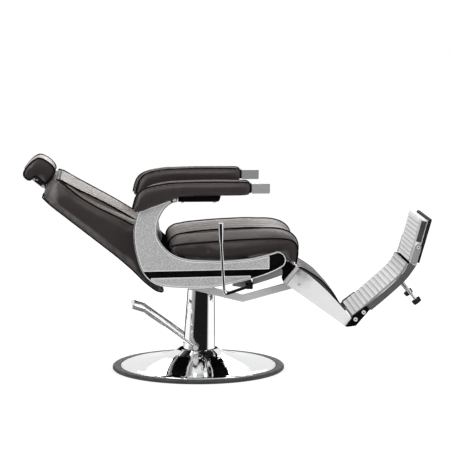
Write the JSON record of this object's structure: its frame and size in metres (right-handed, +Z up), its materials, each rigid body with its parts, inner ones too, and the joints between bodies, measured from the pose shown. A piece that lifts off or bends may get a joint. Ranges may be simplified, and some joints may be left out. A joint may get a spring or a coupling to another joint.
{
  "type": "hydraulic barber chair",
  "caption": "Reclining barber chair on a round pedestal with pump pedal, swivel, linked legrest, flip-over foot plate, armrests and sliding headrest.",
  "frame": {"origin": "centre of the round base, on the floor", "axes": "+X is the chair's front, +Z is up, -Y is the sitter's right side"},
  "size_m": [1.6075, 0.69, 0.8645],
  "materials": {
    "rubber": "charcoal rubber, matte",
    "cast_base": "black enamelled casting",
    "chrome": "mirror chrome plate",
    "steel": "machined steel",
    "black_paint": "gloss black paint",
    "brass": "machined bronze washer",
    "hammered_silver": "hammered silver paint, semi-gloss",
    "polished_alu": "polished cast aluminium",
    "leather_pad": "dark brown leather, soft sheen",
    "leather_seat": "dark brown pleated leather with piping",
    "leather_shell": "dark brown leather over a board",
    "plywood": "raw plywood",
    "grey_paint": "dark grey paint, satin",
    "ribbed_alu": "ribbed extruded aluminium",
    "link_steel": "plated flat steel bar"
  },
  "bodies": {
    "base": {"base_rubber_ring": "rubber", "base_plate": "cast_base", "base_cover": "chrome", "pump_housing": "cast_base", "gland_nut": "steel", "piston_wiper": "rubber", "column_cover": "chrome", "column_collar": "rubber", "pedal_pivot_bolts": "steel"},
    "pedal": {"pedal_frame": "chrome"},
    "lift": {"lift_piston": "chrome", "thrust_washer": "brass"},
    "seat_unit": {"swivel_hub": "black_paint", "seat_chassis": "black_paint", "side_frame_right": "polished_alu", "side_frame_left": "polished_alu", "side_infills": "black_paint", "upper_panels": "hammered_silver", "lower_panels": "hammered_silver", "armrest_pad_right": "leather_pad", "armrest_pad_left": "leather_pad", "armrest_board": "plywood", "armrest_bracket": "black_paint", "armrest_caps": "hammered_silver", "armrest_screws": "steel", "seat_board": "plywood", "seat_cushion": "leather_seat", "legrest_shaft": "steel", "backrest_pivot_bolts": "steel", "lever_block": "black_paint"},
    "recline_handle": {"recline_lever": "chrome", "lever_grip": "chrome"},
    "backrest": {"backrest_shell": "leather_shell", "backrest_board": "plywood", "backrest_cushion": "leather_seat", "backrest_hinge_plates": "black_paint", "backrest_lever_arm": "black_paint", "headrest_socket": "black_paint"},
    "headrest_slider": {"headrest_bar": "steel"},
    "headrest": {"headrest_hinge_plate": "black_paint", "headrest_hinge_pin": "steel", "headrest_board": "plywood", "headrest_cushion": "leather_seat"},
    "legrest": {"legrest_arms": "black_paint", "legrest_plates": "chrome", "legrest_band": "polished_alu", "legrest_crossbars": "steel", "legrest_board": "black_paint", "calf_pad": "leather_seat", "footrest_brackets": "black_paint", "footrest_frame": "grey_paint", "footrest_tread": "ribbed_alu", "footrest_bolts": "steel", "footrest_end_caps": "chrome", "rubber_feet": "rubber"},
    "link": {"link_bar": "link_steel"},
    "flip_plate": {"flip_tread": "ribbed_alu", "flip_core": "grey_paint", "flip_back": "black_paint", "flip_pins": "steel"}
  },
  "joints": [
    {"name": "pedal_pump", "type": "hinge", "parent": "base", "child": "pedal", "pos_m": [-0.016, 0, 0.097], "axis": [0, 1, 0], "range_deg": [-20, 0]},
    {"name": "seat_lift", "type": "slide", "parent": "base", "child": "lift", "axis": [0, 0, 1], "range_m": [0, 0.18]},
    {"name": "seat_swivel", "type": "hinge", "parent": "lift", "child": "seat_unit", "pos_m": [0, 0, 0.35], "axis": [0, 0, 1], "continuous": true},
    {"name": "recline_lever_pull", "type": "hinge", "parent": "seat_unit", "child": "recline_handle", "pos_m": [0.181, 0, 0.38], "axis": [0, 1, 0], "range_deg": [-15, 0]},
    {"name": "backrest_recline", "type": "hinge", "parent": "seat_unit", "child": "backrest", "pos_m": [-0.19, 0, 0.55], "axis": [0, 1, 0], "range_deg": [0, 44]},
    {"name": "legrest_swing", "type": "hinge", "parent": "seat_unit", "child": "legrest", "pos_m": [0.2941, 0, 0.4744], "axis": [0, 1, 0], "range_deg": [0, 30]},
    {"name": "link_swing", "type": "hinge", "parent": "legrest", "child": "link", "pos_m": [0.389, 0, 0.362], "axis": [0, 1, 0], "range_deg": [-28.5, 0]},
    {"name": "headrest_height", "type": "slide", "parent": "backrest", "child": "headrest_slider", "axis": [-0.7848, 0, 0.6198], "range_m": [0, 0.11]},
    {"name": "headrest_tilt", "type": "hinge", "parent": "headrest_slider", "child": "headrest", "pos_m": [-0.6392, 0, 0.76657], "axis": [0, 1, 0], "range_deg": [-40, 0]},
    {"name": "foot_flip", "type": "hinge", "parent": "legrest", "child": "flip_plate", "pos_m": [0.859, 0, 0.505], "axis": [0, 1, 0], "range_deg": [0, 90]}
  ],
  "couplings": [
    {"joint": "legrest_swing", "follows": "backrest_recline", "ratio": 0.6818},
    {"joint": "link_swing", "follows": "backrest_recline", "ratio": -0.6427}
  ]
}
